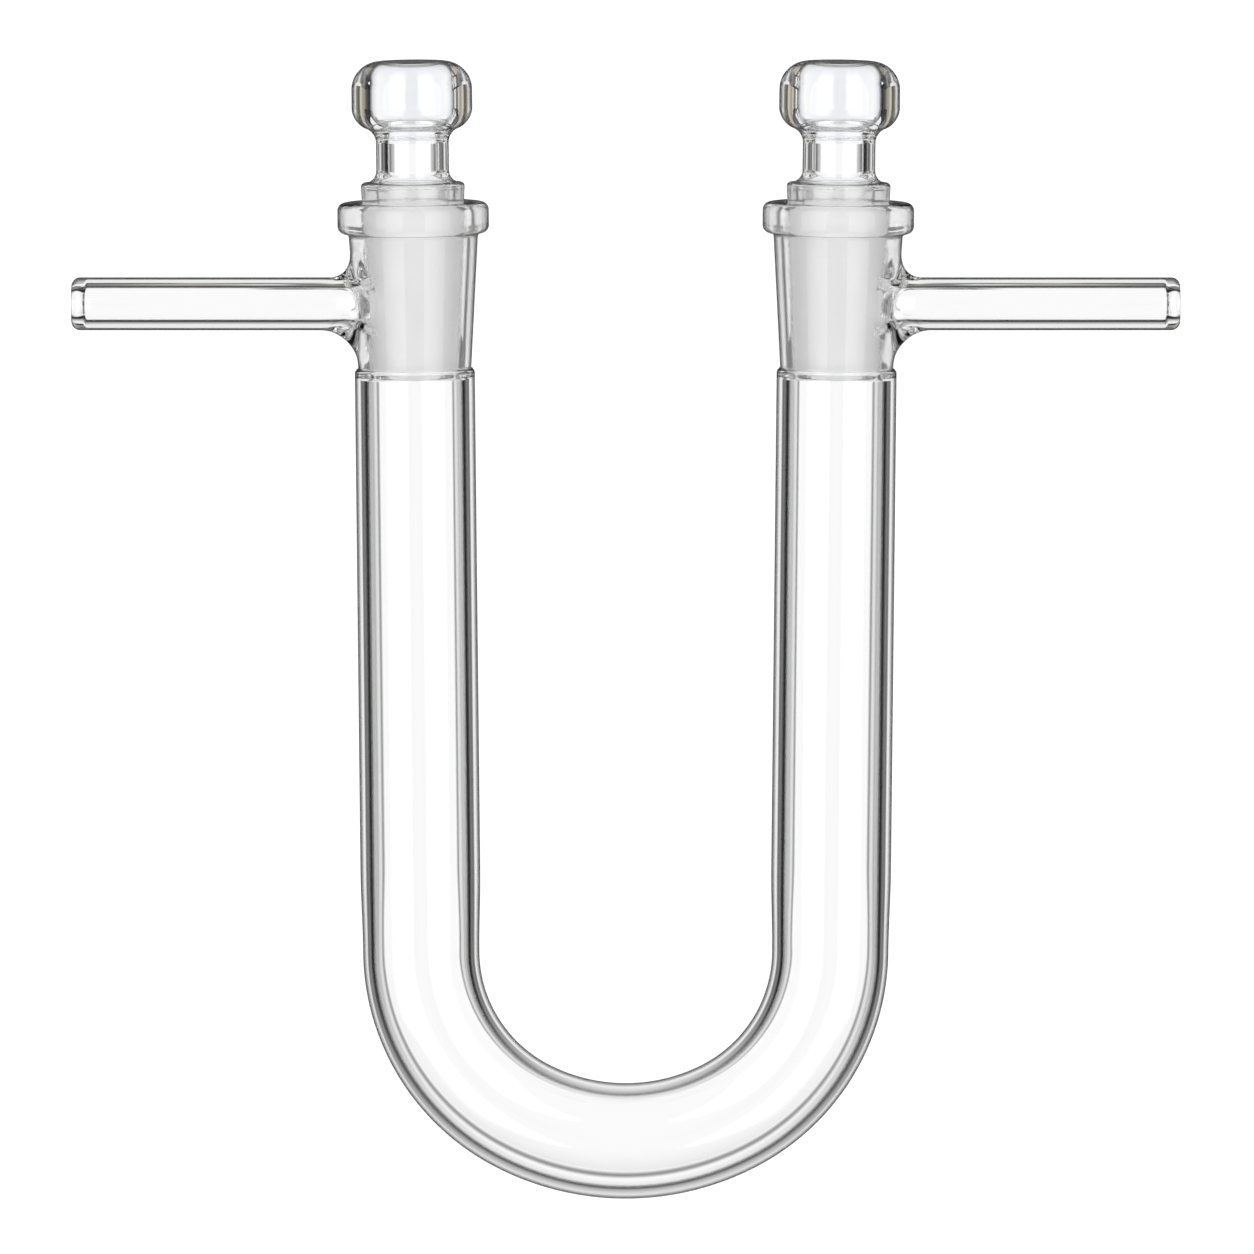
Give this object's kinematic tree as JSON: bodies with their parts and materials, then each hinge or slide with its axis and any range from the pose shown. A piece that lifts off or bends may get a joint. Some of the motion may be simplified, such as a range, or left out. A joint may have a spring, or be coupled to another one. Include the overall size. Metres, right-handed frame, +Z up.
{
  "type": "drying tube",
  "caption": "Glass U-shaped drying tube with a side arm on each leg and a hollow ground-glass stopper that turns in each socket to open or close its arm.",
  "frame": {"origin": "centre of the footprint on the surface that the tube lies on", "axes": "+Y up the legs towards the stoppers, +X across from the left leg to the right, +Z up from the surface"},
  "size_m": [0.157, 0.1617, 0.0215],
  "materials": {
    "tube_glass": "clear and polished, with the ground cones of the sockets frosted",
    "stopper_glass": "clear and polished, with the ground face of the plug frosted"
  },
  "bodies": {
    "tube": {"tube_body": "tube_glass"},
    "stopper_left": {"stopper_left": "stopper_glass"},
    "stopper_right": {"stopper_right": "stopper_glass"}
  },
  "joints": [
    {"name": "turn_left", "type": "hinge", "parent": "tube", "child": "stopper_left", "pos_m": [-0.03012, 0.06083, 0.01079], "axis": [-0.0105, 0.9998, 0.019], "continuous": true},
    {"name": "turn_right", "type": "hinge", "parent": "tube", "child": "stopper_right", "pos_m": [0.03012, 0.06083, 0.01079], "axis": [0.0105, 0.9998, 0.019], "continuous": true}
  ]
}
